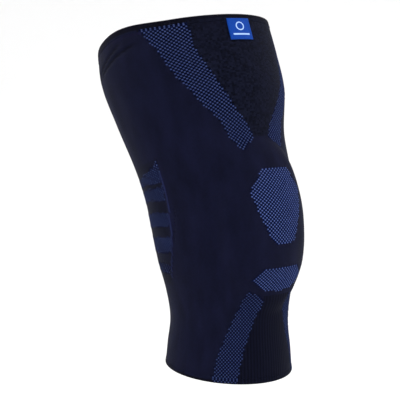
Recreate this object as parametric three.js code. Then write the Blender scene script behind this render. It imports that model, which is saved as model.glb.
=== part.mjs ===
// A knitted knee sleeve, in the form that it has on a slightly bent leg.
// Millimetres, Z up, the kneecap towards -Y. The origin is the middle of the leg at the height of the kneecap.

import * as THREE from "three";

// Lengths along the middle of the leg, counted from the kneecap's height.
const lengthBelowKneecap = 114;
const lengthAboveKneecap = 176;

// How the leg stands: degrees that the shin and the thigh lean back, and the stretch where it bends.
const shinLean = 2.5;
const thighLean = 19.5;
const bendHeight = 19;
const bendLength = 90;

// The leg's width and depth over the knit.
const calfWidth = 98;
const calfDepth = 103;
const kneeWidth = 119;
const kneeDepth = 130;
const thighWidth = 150;
const thighDepth = 153;

// The knit and the turned hems at its two ends.
const knitThickness = 1.8;
const hemThickness = 2.4;
const hemProud = 0.3;
const hemRounding = 0.8;
const thighHemHeight = 7;
const calfHemHeight = 4.5;
const gap = 0.3;

// The oval ring that rests round the kneecap, inside the knit, and the slope of the knit around it.
const padWidth = 78;
const padHeight = 94;
const padBand = 18;
const padThickness = 4.5;
const padRounding = 1.4;
const padRise = -1;
const padShoulder = 2;
const padSlope = 12;

// The line of the thigh rim: it rises a little at the sides and drops at the back, and the knit below it
// follows over the rimBlend.
const rimRise = 2;
const rimRiseAt = 78;
const rimRiseReach = 30;
const rimDrop = 15;
const rimDropStart = 86;
const rimDropEnd = 165;
const rimBlend = 60;

// The creases that run round the back below the thigh hem, from creaseStart degrees off the front on.
const firstCrease = 2.5;
const creaseSpacing = 4.5;
const creaseWidth = 3.5;
const creaseDepth = 0.9;
const creaseCount = 2;
const creaseStart = 68;
const creaseFade = 30;

// The woven label on the front of the thigh.
const labelWidth = 22.5;
const labelHeight = 20.5;
const labelThickness = 0.8;
const labelBelowEdge = 4.5;
const labelAside = -4.5;

// How finely the curved faces are divided.
const frontSteps = 24;
const backSteps = 30;
const frontReach = 60;
const rowStep = 8;
const finestRow = 0.6;
const padSteps = 36;
const labelColumns = 8;
const labelRows = 6;

const calf = { width: calfWidth, depth: calfDepth };
const knee = { width: kneeWidth, depth: kneeDepth };
const thigh = { width: thighWidth, depth: thighDepth };

// One row for each section of the leg. at is a share of the length below or above the kneecap. width and
// depth are shares of the sizes that the section is like, back is how far it sits behind the middle line
// as a share of its depth, and lean is its own tilt in degrees, on top of the leg's.
const sections = [
  { at: -1.0, like: calf, width: 1.08, depth: 1.07, back: 0.0, lean: -6.5 },
  { at: -0.84, like: calf, width: 1.05, depth: 1.04, back: -0.01, lean: -5 },
  { at: -0.64, like: calf, width: 1.0, depth: 1.0, back: -0.02, lean: -3 },
  { at: -0.43, like: knee, width: 0.87, depth: 0.84, back: -0.02, lean: -1 },
  { at: -0.18, like: knee, width: 0.97, depth: 0.955, back: -0.02, lean: 0 },
  { at: 0.05, like: knee, width: 1.01, depth: 1.01, back: -0.012, lean: 0 },
  { at: 0.22, like: knee, width: 1.02, depth: 1.02, back: 0.005, lean: 0 },
  { at: 0.4, like: thigh, width: 0.865, depth: 0.87, back: 0.015, lean: 0 },
  { at: 0.62, like: thigh, width: 0.965, depth: 0.985, back: 0.01, lean: -2 },
  { at: 0.82, like: thigh, width: 1.01, depth: 1.025, back: 0.034, lean: -5 },
  { at: 1.0, like: thigh, width: 0.98, depth: 0.99, back: 0.02, lean: -7.5 },
].map((row) => ({
  height: row.at * (row.at < 0 ? lengthBelowKneecap : lengthAboveKneecap),
  halfWidth: (row.width * row.like.width) / 2,
  halfDepth: (row.depth * row.like.depth) / 2,
  back: row.back * row.like.depth,
  lean: row.lean,
}));

// 0 below start, 1 above end, and a soft step between.
function softStep(value, start, end) {
  return THREE.MathUtils.smoothstep(value, start, end);
}

// Reads one column of the sections at a height, along a smooth curve through its rows.
function readSections(column, height) {
  const last = sections.length - 1;
  const slope = (i) => {
    const before = sections[Math.max(i - 1, 0)];
    const after = sections[Math.min(i + 1, last)];
    return (after[column] - before[column]) / (after.height - before.height);
  };
  const above = sections.findIndex((row) => row.height >= height);
  const i = THREE.MathUtils.clamp(above < 0 ? last : above, 1, last) - 1;
  const [low, high] = [sections[i], sections[i + 1]];
  const span = high.height - low.height;
  const t = (height - low.height) / span;
  return (
    (2 * t ** 3 - 3 * t ** 2 + 1) * low[column] +
    (t ** 3 - 2 * t ** 2 + t) * span * slope(i) +
    (3 * t ** 2 - 2 * t ** 3) * high[column] +
    (t ** 3 - t ** 2) * span * slope(i + 1)
  );
}

// The middle line of the leg: a straight shin, an arc through the knee and a straight thigh.
function middleFromBend(height) {
  const shin = THREE.MathUtils.degToRad(shinLean);
  const turn = THREE.MathUtils.degToRad(thighLean - shinLean);
  const along = height - (bendHeight - bendLength / 2);
  const bent = THREE.MathUtils.clamp(along, 0, bendLength);
  const lean = shin + (turn * bent) / bendLength;
  const radius = bendLength / turn;
  const straight = along - bent;
  return {
    y: radius * (Math.cos(shin) - Math.cos(lean)) + straight * Math.sin(lean),
    z: radius * (Math.sin(lean) - Math.sin(shin)) + straight * Math.cos(lean),
    lean,
  };
}

// How far the pad pushes the knit out: all the way over the pad and its shoulder, and sloping off around it,
// from a sharp edge above the kneecap and a soft one below.
function padRaise(angle, height) {
  const across = (angle * kneeWidth) / 2;
  const up = height - padRise;
  const share = Math.hypot(across / (padWidth / 2), up / (padHeight / 2));
  const outside = (share - 1) * (padWidth / 2) - padShoulder;
  const soft = 1 - softStep(outside, 0, padSlope);
  const sharp = Math.cos((Math.PI / 2) * THREE.MathUtils.clamp(outside / padSlope, 0, 1));
  return padThickness * THREE.MathUtils.lerp(soft, sharp, softStep(up, 0, padHeight / 2));
}

// The heights of the creases at the front, from the top one down.
const creaseHeights = Array.from(
  { length: creaseCount },
  (_, i) => lengthAboveKneecap - thighHemHeight - firstCrease - creaseSpacing * i,
);

// How far the creases draw the knit in: not at all at the front, and all the way round the back.
function creaseDent(angle, height) {
  const away = THREE.MathUtils.radToDeg(Math.abs(angle));
  const dents = creaseHeights.map((crease) => 1 - softStep(Math.abs(height - crease), 0, creaseWidth / 2));
  return creaseDepth * softStep(away, creaseStart, creaseStart + creaseFade) * Math.max(...dents);
}

// How far up the leg the knit is drawn, all the way at the thigh rim and less below it.
function rimShift(angle, height) {
  const away = THREE.MathUtils.radToDeg(Math.abs(angle));
  const rise = rimRise * (1 - softStep(Math.abs(away - rimRiseAt), 0, rimRiseReach));
  const drop = rimDrop * softStep(away, rimDropStart, rimDropEnd);
  return (rise - drop) * softStep(height, lengthAboveKneecap - rimBlend, lengthAboveKneecap);
}

// The point that lies depth under the outer face of the knit. Angle 0 is the front, and grows towards +X.
function skin(angle, height, depth = 0) {
  const inward = depth - padRaise(angle, height) + creaseDent(angle, height);
  const level = height + rimShift(angle, height);
  const middle = middleFromBend(level);
  const origin = middleFromBend(0);
  const lean = middle.lean + THREE.MathUtils.degToRad(readSections("lean", level));
  const aside = (readSections("halfWidth", level) - inward) * Math.sin(angle);
  const forward = (readSections("halfDepth", level) - inward) * Math.cos(angle) - readSections("back", level);
  return new THREE.Vector3(
    aside,
    middle.y - origin.y - forward * Math.cos(lean),
    middle.z - origin.z + forward * Math.sin(lean),
  );
}

// The angles of the upright lines round the leg, closer together at the front.
function anglesRound() {
  const reach = THREE.MathUtils.degToRad(frontReach);
  const front = Array.from({ length: frontSteps }, (_, i) => -reach + (2 * reach * i) / frontSteps);
  const behind = 2 * (Math.PI - reach);
  const back = Array.from({ length: backSteps }, (_, i) => reach + (behind * i) / backSteps);
  return [...front, ...back].map((angle) => (angle > Math.PI ? angle - 2 * Math.PI : angle));
}

// A closed body from a grid of points that runs round in both directions.
function closedGrid(rows) {
  const across = rows[0].length;
  const positions = rows.flat().flatMap((point) => point.toArray());
  const index = [];
  rows.forEach((row, i) => {
    const next = (i + 1) % rows.length;
    row.forEach((_, j) => {
      const beside = (j + 1) % across;
      const [a, b] = [i * across + j, i * across + beside];
      const [c, d] = [next * across + beside, next * across + j];
      index.push(a, b, c, a, c, d);
    });
  });
  const geometry = new THREE.BufferGeometry();
  geometry.setAttribute("position", new THREE.Float32BufferAttribute(positions, 3));
  geometry.setIndex(index);
  geometry.computeVertexNormals();
  return geometry;
}

// A ring round the leg whose section is a closed outline of heights and depths, up the outside first.
function ringRoundLeg(outline) {
  const angles = anglesRound();
  return closedGrid(outline.map(({ height, depth }) => angles.map((angle) => skin(angle, height, depth))));
}

// Heights from low to high that pass through each crease, with even rows where there is none.
function rowsThroughCreases(low, high) {
  const marks = creaseHeights.flatMap((crease) => [crease - creaseWidth / 2, crease, crease + creaseWidth / 2]);
  const stops = [low];
  for (const mark of marks.sort((a, b) => a - b)) {
    if (mark > stops.at(-1) + finestRow && mark < high - finestRow) {
      stops.push(mark);
    }
  }
  stops.push(high);
  return stops.flatMap((stop, i) => {
    if (i === 0) return [stop];
    const from = stops[i - 1];
    const count = Math.ceil((stop - from) / rowStep);
    return Array.from({ length: count }, (_, j) => from + ((stop - from) * (j + 1)) / count);
  });
}

// The knit tube between the two hems.
function sleeveGeometry() {
  const low = -lengthBelowKneecap + calfHemHeight + gap;
  const high = lengthAboveKneecap - thighHemHeight - gap;
  const heights = rowsThroughCreases(low, high);
  const outside = heights.map((height) => ({ height, depth: 0 }));
  const inside = heights.map((height) => ({ height, depth: knitThickness })).reverse();
  return ringRoundLeg([...outside, ...inside]);
}

// A turned hem: a ring with rounded edges from one height to another, a little proud of the knit.
function hemGeometry(low, high) {
  const outer = -hemProud;
  const inner = hemThickness - hemProud;
  return ringRoundLeg([
    { height: low, depth: outer + hemRounding },
    { height: low + hemRounding, depth: outer },
    { height: high - hemRounding, depth: outer },
    { height: high, depth: outer + hemRounding },
    { height: high, depth: inner - hemRounding },
    { height: high - hemRounding, depth: inner },
    { height: low + hemRounding, depth: inner },
    { height: low, depth: inner - hemRounding },
  ]);
}

// The oval ring round the kneecap, lying against the inside of the knit.
function padGeometry() {
  const outer = knitThickness + gap;
  const inner = outer + padThickness;
  const section = [
    { inset: padRounding, depth: outer },
    { inset: padBand / 2, depth: outer },
    { inset: padBand - padRounding, depth: outer },
    { inset: padBand, depth: outer + padRounding },
    { inset: padBand, depth: inner - padRounding },
    { inset: padBand - padRounding, depth: inner },
    { inset: padBand / 2, depth: inner },
    { inset: padRounding, depth: inner },
    { inset: 0, depth: inner - padRounding },
    { inset: 0, depth: outer + padRounding },
  ];
  const turns = Array.from({ length: padSteps }, (_, i) => (2 * Math.PI * i) / padSteps);
  return closedGrid(
    turns.map((turn) =>
      section.map(({ inset, depth }) => {
        const across = (padWidth / 2 - inset) * Math.sin(turn);
        const up = (padHeight / 2 - inset) * Math.cos(turn);
        return skin(across / (kneeWidth / 2), padRise + up, depth);
      }),
    ),
  );
}

// The label: a flat plate bent on to the front of the thigh.
function labelGeometry() {
  const plate = new THREE.BoxGeometry(labelWidth, labelThickness, labelHeight, labelColumns, 1, labelRows);
  const corners = plate.getAttribute("position");
  const middle = lengthAboveKneecap - labelBelowEdge - labelHeight / 2;
  const seat = hemProud + gap + labelThickness / 2;
  for (let i = 0; i < corners.count; i += 1) {
    const angle = (labelAside + corners.getX(i)) / readSections("halfWidth", middle);
    const point = skin(angle, middle + corners.getZ(i), corners.getY(i) - seat);
    corners.setXYZ(i, ...point.toArray());
  }
  plate.computeVertexNormals();
  return plate;
}

function piece(name, geometry, color, roughness) {
  const material = new THREE.MeshStandardMaterial({ color, roughness, metalness: 0 });
  const mesh = new THREE.Mesh(geometry, material);
  mesh.name = name;
  return mesh;
}

const kneeSleeve = new THREE.Group();
kneeSleeve.add(
  piece("knit_sleeve", sleeveGeometry(), "#15172e", 0.85),
  piece("thigh_hem", hemGeometry(lengthAboveKneecap - thighHemHeight, lengthAboveKneecap), "#101226", 0.8),
  piece("calf_hem", hemGeometry(-lengthBelowKneecap, -lengthBelowKneecap + calfHemHeight), "#101226", 0.8),
  piece("kneecap_ring", padGeometry(), "#27304f", 0.5),
  piece("woven_label", labelGeometry(), "#0d55b4", 0.6),
);

export default kneeSleeve;
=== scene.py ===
"""A knitted knee sleeve in the form that it has on a slightly bent leg.

Each soft piece is modelled straight, as it comes off a round knitting machine: the front of the sleeve
faces -Y, the height above the kneecap is Z, and the distance from the Z axis tells how deep a point lies in
the knit. The leg form then lays it on the leg. All lengths are metres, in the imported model's frame.
"""

import logging
import math
from collections.abc import Callable
from dataclasses import dataclass
from enum import Enum

import bpy
import numpy as np
from mathutils import Matrix, Vector


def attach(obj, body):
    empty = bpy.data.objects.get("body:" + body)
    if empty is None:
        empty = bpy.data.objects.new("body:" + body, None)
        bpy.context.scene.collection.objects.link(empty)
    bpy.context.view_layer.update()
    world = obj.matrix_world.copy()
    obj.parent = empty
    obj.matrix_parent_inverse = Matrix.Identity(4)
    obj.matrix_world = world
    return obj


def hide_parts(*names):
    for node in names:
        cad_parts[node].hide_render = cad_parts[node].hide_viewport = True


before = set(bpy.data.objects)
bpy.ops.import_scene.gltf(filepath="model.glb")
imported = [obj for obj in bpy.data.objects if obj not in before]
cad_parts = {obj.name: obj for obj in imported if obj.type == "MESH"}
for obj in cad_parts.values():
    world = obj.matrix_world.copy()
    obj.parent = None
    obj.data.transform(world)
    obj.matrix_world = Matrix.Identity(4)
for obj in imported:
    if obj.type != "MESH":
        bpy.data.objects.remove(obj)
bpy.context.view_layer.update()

log = logging.getLogger("knee_sleeve")
Array = np.ndarray
Object = bpy.types.Object
Triple = tuple[float, float, float]
Pairs = tuple[tuple[float, float], ...]
MM = 0.001
BODY = "root"
KNIT_MAP = "knit"


class Girth(Enum):
    """The part of the leg that a section is like: its width and depth over the knit."""

    CALF = (98 * MM, 103 * MM)
    KNEE = (119 * MM, 130 * MM)
    THIGH = (150 * MM, 153 * MM)


@dataclass(frozen=True)
class Section:
    """A section of the leg.

    at is a share of the length below or above the kneecap, and width, depth and back are shares of the girth.
    back is how far the section sits behind the middle line, and lean its own tilt in degrees.
    """

    at: float
    girth: Girth
    width: float
    depth: float
    back: float
    lean: float


SECTIONS = (
    Section(-1.0, Girth.CALF, 1.08, 1.07, 0.0, -6.5),
    Section(-0.84, Girth.CALF, 1.05, 1.04, -0.01, -5.0),
    Section(-0.64, Girth.CALF, 1.0, 1.0, -0.02, -3.0),
    Section(-0.43, Girth.KNEE, 0.87, 0.84, -0.02, -1.0),
    Section(-0.18, Girth.KNEE, 0.97, 0.955, -0.02, 0.0),
    Section(0.05, Girth.KNEE, 1.01, 1.01, -0.012, 0.0),
    Section(0.22, Girth.KNEE, 1.02, 1.02, 0.005, 0.0),
    Section(0.4, Girth.THIGH, 0.865, 0.87, 0.015, 0.0),
    Section(0.62, Girth.THIGH, 0.965, 0.985, 0.01, -2.0),
    Section(0.82, Girth.THIGH, 1.01, 1.025, 0.034, -5.0),
    Section(1.0, Girth.THIGH, 0.98, 0.99, 0.02, -7.5),
)


def soft_step(value: Array | float, start: float, end: float) -> Array:
    """Steps softly from 0 to 1.

    Args:
        value: What is read.
        start: Where the step begins.
        end: Where it ends.

    Returns:
        0 below start, 1 above end, and a smooth rise between.
    """
    share = np.clip((np.asarray(value, float) - start) / (end - start), 0.0, 1.0)
    return share * share * (3.0 - 2.0 * share)


@dataclass(frozen=True)
class Fold:
    """A soft fold that runs up and down the knit: its degree, its heights and how far it stands out."""

    angle: float
    low: float
    high: float
    width: float
    rise: float


@dataclass(frozen=True)
class Crease:
    """A crease below the thigh hem: the degree it starts at, its height there and its fall each degree."""

    start: float
    height: float
    fall: float


@dataclass(frozen=True)
class LegForm:
    """The leg that the sleeve sits on, as the CAD model has it, with the folds that only the looks need."""

    below: float = 114 * MM
    above: float = 176 * MM
    shin_lean: float = 2.5
    thigh_lean: float = 19.5
    bend_height: float = 19 * MM
    bend_length: float = 90 * MM
    pad_width: float = 78 * MM
    pad_height: float = 94 * MM
    pad_thickness: float = 4.5 * MM
    pad_rise: float = -1 * MM
    pad_shoulder: float = 2 * MM
    pad_slope: float = 12 * MM
    thigh_hem: float = 7 * MM
    calf_hem: float = 4.5 * MM
    gap: float = 0.3 * MM
    wall: float = 1.8 * MM
    rim_rise: float = 2 * MM
    rim_rise_at: float = 78.0
    rim_rise_reach: float = 30.0
    rim_drop: float = 15 * MM
    rim_drop_start: float = 86.0
    rim_drop_end: float = 165.0
    rim_blend: float = 60 * MM
    creases: tuple[Crease, ...] = (Crease(82, 165.42 * MM, 0.39 * MM), Crease(69, 160.97 * MM, 0.27 * MM))
    crease_width: float = 3.8 * MM
    crease_depth: float = 1.1 * MM
    crease_fade: float = 10.0
    crease_end: float = 112.0
    folds: tuple[Fold, ...] = (
        Fold(-92, 100 * MM, 146 * MM, 7 * MM, 0.5 * MM),
        Fold(92, 96 * MM, 142 * MM, 7 * MM, 0.5 * MM),
        Fold(-104, 78 * MM, 132 * MM, 8 * MM, -0.4 * MM),
        Fold(108, 80 * MM, 128 * MM, 8 * MM, -0.4 * MM),
        Fold(-41, 8 * MM, 54 * MM, 4 * MM, 0.35 * MM),
        Fold(-47, 4 * MM, 44 * MM, 4 * MM, -0.3 * MM),
        Fold(43, 6 * MM, 52 * MM, 4 * MM, 0.35 * MM),
        Fold(160, 30 * MM, 150 * MM, 10 * MM, -0.5 * MM),
        Fold(-150, 40 * MM, 140 * MM, 10 * MM, 0.4 * MM),
        Fold(-120, -100 * MM, -50 * MM, 7 * MM, -0.4 * MM),
        Fold(130, -104 * MM, -56 * MM, 8 * MM, 0.4 * MM),
    )

    def _places(self) -> Array:
        """Gives the heights of the sections."""
        return np.array([s.at * (self.below if s.at < 0 else self.above) for s in SECTIONS])

    def _read(self, values: list[float], height: Array) -> Array:
        """Reads one column of the sections along a smooth curve.

        Args:
            values: The column, a value for each section.
            height: The heights that are asked for.

        Returns:
            The column's value at each height.
        """
        x = self._places()
        y = np.array(values)
        slope = np.empty_like(y)
        slope[1:-1] = (y[2:] - y[:-2]) / (x[2:] - x[:-2])
        slope[0] = (y[1] - y[0]) / (x[1] - x[0])
        slope[-1] = (y[-1] - y[-2]) / (x[-1] - x[-2])
        i = np.clip(np.searchsorted(x, height) - 1, 0, len(x) - 2)
        span = x[i + 1] - x[i]
        t = (height - x[i]) / span
        return (
            (2 * t**3 - 3 * t**2 + 1) * y[i]
            + (t**3 - 2 * t**2 + t) * span * slope[i]
            + (3 * t**2 - 2 * t**3) * y[i + 1]
            + (t**3 - t**2) * span * slope[i + 1]
        )

    def half_width(self, height: Array) -> Array:
        """Gives half the leg's width over the knit at each height."""
        return self._read([s.width * s.girth.value[0] / 2 for s in SECTIONS], height)

    def half_depth(self, height: Array) -> Array:
        """Gives half the leg's depth over the knit at each height."""
        return self._read([s.depth * s.girth.value[1] / 2 for s in SECTIONS], height)

    def middle(self, height: Array) -> tuple[Array, Array, Array]:
        """Follows the middle line: a straight shin, an arc through the knee and a straight thigh.

        Args:
            height: Lengths along the line above the start of the bend's frame.

        Returns:
            Y, Z and the lean in radians at each height.
        """
        shin = math.radians(self.shin_lean)
        turn = math.radians(self.thigh_lean - self.shin_lean)
        along = height - (self.bend_height - self.bend_length / 2)
        bent = np.clip(along, 0, self.bend_length)
        lean = shin + turn * bent / self.bend_length
        radius = self.bend_length / turn
        straight = along - bent
        y = radius * (math.cos(shin) - np.cos(lean)) + straight * np.sin(lean)
        z = radius * (np.sin(lean) - math.sin(shin)) + straight * np.cos(lean)
        return y, z, lean

    def pad_raise(self, angle: Array, height: Array) -> Array:
        """Lets the kneecap ring push the knit out, sharply above the kneecap and softly below it.

        Args:
            angle: Radians from the front, growing towards +X.
            height: Lengths above the kneecap.

        Returns:
            How far each point is pushed out.
        """
        up = height - self.pad_rise
        across = angle * Girth.KNEE.value[0] / 2
        share = np.hypot(across / (self.pad_width / 2), up / (self.pad_height / 2))
        outside = ((share - 1) * self.pad_width / 2 - self.pad_shoulder) / self.pad_slope
        soft = 1 - soft_step(outside, 0, 1)
        sharp = np.cos(np.clip(outside, 0, 1) * math.pi / 2)
        upper = soft_step(up, 0, self.pad_height / 2)
        return self.pad_thickness * (soft + (sharp - soft) * upper)

    def crease_share(self, angle: Array, height: Array, depth: Array) -> Array:
        """Reads the creases of the outer face, for their dent and for the mask of the shade painted into
        them.

        Args:
            angle: Radians from the front, growing towards +X.
            height: Lengths above the kneecap.
            depth: How far under the outer face each point lies.

        Returns:
            How deep in a crease each point is, from 0 outside to 1 at its bottom.
        """
        away = np.degrees(np.abs(angle))
        deepest = np.zeros_like(height)
        for crease in self.creases:
            off = np.abs(height - crease.height + crease.fall * (away - crease.start))
            share = 1 - soft_step(off, 0, self.crease_width / 2)
            share = share * soft_step(away, crease.start, crease.start + self.crease_fade)
            deepest = np.maximum(deepest, share)
        deepest *= 1 - soft_step(away, self.crease_end, self.crease_end + 2 * self.crease_fade)
        return deepest * (depth < self.wall / 2)

    def rim_shift(self, angle: Array, height: Array) -> Array:
        """Draws the knit up the leg, all the way at the thigh rim and less below it.

        Args:
            angle: Radians from the front, growing towards +X.
            height: Lengths above the kneecap.

        Returns:
            How far up each point moves.
        """
        away = np.degrees(np.abs(angle))
        rise = self.rim_rise * (1 - soft_step(np.abs(away - self.rim_rise_at), 0, self.rim_rise_reach))
        drop = self.rim_drop * soft_step(away, self.rim_drop_start, self.rim_drop_end)
        return (rise - drop) * soft_step(height, self.above - self.rim_blend, self.above)

    def fold_rise(self, angle: Array, height: Array) -> Array:
        """Reads the soft folds.

        Args:
            angle: Radians from the front, growing towards +X.
            height: Lengths above the kneecap.

        Returns:
            How far each point stands out.
        """
        rise = np.zeros_like(height)
        for fold in self.folds:
            off = (np.degrees(angle) - fold.angle + 180) % 360 - 180
            across = np.radians(off) * Girth.KNEE.value[0] / 2
            middle, reach = (fold.low + fold.high) / 2, (fold.high - fold.low) / 2
            along = np.clip(1 - ((height - middle) / reach) ** 2, 0, 1)
            rise += fold.rise * along**2 * np.exp(-((across / fold.width) ** 2))
        return rise

    def skin(self, angle: Array, height: Array, depth: Array) -> Array:
        """Places points on the leg.

        Args:
            angle: Radians from the front, growing towards +X.
            height: Lengths above the kneecap.
            depth: How far under the outer face of the knit each point lies.

        Returns:
            One row of X, Y and Z for each point.
        """
        inward = depth + self.crease_depth * self.crease_share(angle, height, depth)
        inward = inward - self.pad_raise(angle, height) - self.fold_rise(angle, height)
        level = height + self.rim_shift(angle, height)
        y, z, lean = self.middle(level)
        y0, z0, _ = self.middle(np.zeros(1))
        lean = lean + np.radians(self._read([s.lean for s in SECTIONS], level))
        back = self._read([s.back * s.girth.value[1] for s in SECTIONS], level)
        aside = (self.half_width(level) - inward) * np.sin(angle)
        forward = (self.half_depth(level) - inward) * np.cos(angle) - back
        return np.stack([aside, y - y0 - forward * np.cos(lean), z - z0 + forward * np.sin(lean)], axis=-1)


LEG = LegForm()


class Bench:
    """The hand tools: Blender's mesh operators, each on one object with only the wanted elements selected."""

    STRAIGHT_RADIUS = 62 * MM
    SAME = MM / 1000
    SHARP = math.radians(60)

    @staticmethod
    def only(obj: Object) -> None:
        """Selects one object and nothing else.

        Args:
            obj: The object.
        """
        bpy.ops.object.select_all(action="DESELECT")
        obj.select_set(True)
        bpy.context.view_layer.objects.active = obj

    @staticmethod
    def named(name: str) -> Object:
        """Names the object that was just added or joined.

        Args:
            name: Its new name.

        Returns:
            The object.
        """
        obj = bpy.context.active_object
        obj.name = name
        obj.data.name = name
        return obj

    @classmethod
    def primitive(cls, name: str, add: Callable, scale: Triple = (1, 1, 1), **settings: object) -> Object:
        """Adds a primitive, scales it and applies its place to its mesh.

        Args:
            name: The new object's name.
            add: Blender's operator for the primitive.
            scale: How much it is stretched along its own axes.
            **settings: The operator's settings.

        Returns:
            The new object.
        """
        bpy.ops.object.select_all(action="DESELECT")
        add(**settings)
        obj = cls.named(name)
        obj.scale = scale
        bpy.ops.object.transform_apply(location=True, rotation=True, scale=True)
        return obj

    @staticmethod
    def read(items: bpy.types.bpy_prop_collection, name: str, kind: type = float, width: int = 1) -> Array:
        """Reads one property of all a mesh's elements of one sort.

        Args:
            items: The elements, such as the mesh's vertices.
            name: The property.
            kind: The type of its numbers.
            width: How many numbers each element has.

        Returns:
            One number, or one row of numbers, for each element.
        """
        flat = np.zeros(len(items) * width, kind)
        items.foreach_get(name, flat)
        return flat.reshape(-1, width) if width > 1 else flat

    @classmethod
    def points(cls, obj: Object) -> Array:
        """Reads an object's vertices as rows of X, Y and Z."""
        return cls.read(obj.data.vertices, "co", float, 3)

    @staticmethod
    def put_points(obj: Object, points: Array) -> None:
        """Writes an object's vertices."""
        obj.data.vertices.foreach_set("co", points.astype(np.float32).ravel())
        obj.data.update()

    @classmethod
    def face_centres(cls, obj: Object) -> Array:
        """Reads the middle of each face as rows of X, Y and Z."""
        return cls.read(obj.data.polygons, "center", float, 3)

    @classmethod
    def pick(cls, obj: Object, faces: Array | None = None, edges: Array | None = None) -> None:
        """Goes into edit mode with only these faces or edges selected.

        Args:
            obj: The object.
            faces: A mark for each face, or None to pick edges.
            edges: A mark for each edge, or None to pick faces.
        """
        cls.only(obj)
        mesh = obj.data
        for items, wanted in ((mesh.vertices, None), (mesh.edges, edges), (mesh.polygons, faces)):
            values = np.zeros(len(items), bool) if wanted is None else wanted.astype(bool)
            items.foreach_set("select", values)
        bpy.context.tool_settings.mesh_select_mode = (False, faces is None, faces is not None)
        bpy.ops.object.mode_set(mode="EDIT")

    @classmethod
    def pick_all(cls, obj: Object) -> None:
        """Goes into edit mode with every face selected."""
        cls.pick(obj, faces=np.ones(len(obj.data.polygons), bool))

    @classmethod
    def pick_edges_at(cls, obj: Object, marks: Array) -> None:
        """Goes into edit mode with the edges selected whose two ends are marked.

        Args:
            obj: The object.
            marks: A mark for each vertex.
        """
        ends = cls.edge_ends(obj)
        cls.pick(obj, edges=marks[ends[:, 0]] & marks[ends[:, 1]])

    @staticmethod
    def done() -> None:
        """Leaves edit mode."""
        bpy.ops.object.mode_set(mode="OBJECT")

    @staticmethod
    def apply(obj: Object, kind: str, **settings: object) -> None:
        """Adds a modifier and applies it.

        Args:
            obj: The object.
            kind: Blender's name for the modifier.
            **settings: The modifier's own settings.
        """
        Bench.only(obj)
        modifier = obj.modifiers.new(kind.lower(), kind)
        for name, value in settings.items():
            setattr(modifier, name, value)
        bpy.ops.object.modifier_apply(modifier=modifier.name)

    @classmethod
    def tube(cls, name: str, radius: float, lines: Array, columns: int) -> Object:
        """Models an open straight tube of cells.

        Args:
            name: The new object's name.
            radius: The tube's radius.
            lines: The heights of the lines between its rows, with both ends.
            columns: Cells around.

        Returns:
            The tube.
        """
        low, high, rows = lines[0], lines[-1], len(lines) - 1
        obj = cls.primitive(
            name, bpy.ops.mesh.primitive_cylinder_add, vertices=columns, radius=radius, depth=high - low,
            end_fill_type="NOTHING", location=(0, 0, (low + high) / 2),
        )
        for parts in cls._factors(rows):
            cls._split_rows(obj, parts)
        points = cls.points(obj)
        row = np.round((points[:, 2] - low) / (high - low) * rows).astype(int)
        points[:, 2] = lines[row]
        cls.put_points(obj, points)
        return obj

    @classmethod
    def _factors(cls, rows: int, most: int = 50) -> list[int]:
        """Splits a number of rows into factors that one subdivision can make.

        Args:
            rows: The number of rows.
            most: The largest factor.

        Returns:
            The factors, with none for a single row.
        """
        for factor in range(most, 1, -1):
            if rows % factor == 0:
                return [factor, *cls._factors(rows // factor)]
        return []

    @classmethod
    def _split_rows(cls, obj: Object, parts: int) -> None:
        """Subdivides each upright edge of a straight tube into a number of parts.

        Args:
            obj: The tube.
            parts: Into how many parts each upright edge goes.
        """
        points = cls.points(obj)
        ends = cls.edge_ends(obj)
        upright = np.abs(points[ends[:, 0], 2] - points[ends[:, 1], 2]) > MM / 10
        cls.pick(obj, edges=upright)
        bpy.ops.mesh.subdivide(number_cuts=parts - 1, smoothness=0)
        cls.done()

    @classmethod
    def edge_ends(cls, obj: Object) -> Array:
        """Reads the two vertices of each edge."""
        return cls.read(obj.data.edges, "vertices", int, 2)

    @classmethod
    def face_corners(cls, obj: Object) -> tuple[Array, Array]:
        """Reads the vertex at each face corner, and how many corners each face has."""
        mesh = obj.data
        return cls.read(mesh.loops, "vertex_index", int), cls.read(mesh.polygons, "loop_total", int)

    @classmethod
    def inset_each(cls, obj: Object, faces: Array, thickness: float, depth: float) -> None:
        """Insets each picked face by itself and moves it in or out. The inner faces stay selected.

        Args:
            obj: The object.
            faces: A mark for each face.
            thickness: How far the inner face lies inside the outer one.
            depth: How far it moves out, or in if negative.
        """
        cls.pick(obj, faces=faces)
        bpy.ops.mesh.inset(thickness=thickness, depth=depth, use_individual=True, use_even_offset=False)
        cls.done()

    @classmethod
    def selected_faces(cls, obj: Object) -> Array:
        """Reads which faces are selected."""
        return cls.read(obj.data.polygons, "select", bool)

    @staticmethod
    def join(name: str, parts: list[Object]) -> Object:
        """Joins objects into the first of them.

        Args:
            name: The joined object's name.
            parts: The objects.

        Returns:
            The joined object.
        """
        bpy.ops.object.select_all(action="DESELECT")
        for part in parts:
            part.select_set(True)
        bpy.context.view_layer.objects.active = parts[0]
        bpy.ops.object.join()
        return Bench.named(name)

    @classmethod
    def turn_in_rim(cls, obj: Object, height: float, radius: float) -> None:
        """Extrudes the open rim of a straight tube inwards, to where the inner face begins.

        Args:
            obj: The tube.
            height: Which rim.
            radius: How far from the Z axis the new rim lies.
        """
        cls.pick_edges_at(obj, np.abs(cls.points(obj)[:, 2] - height) < cls.SAME)
        bpy.ops.mesh.extrude_edges_move()
        cls.done()
        points = cls.points(obj)
        new = cls.read(obj.data.vertices, "select", bool)
        points[new, :2] *= (radius / np.hypot(points[new, 0], points[new, 1]))[:, None]
        cls.put_points(obj, points)

    @classmethod
    def angles_of(cls, points: Array) -> Array:
        """Gives the angle of straight points round the Z axis, from the front."""
        return np.arctan2(points[:, 0], -points[:, 1])

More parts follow.
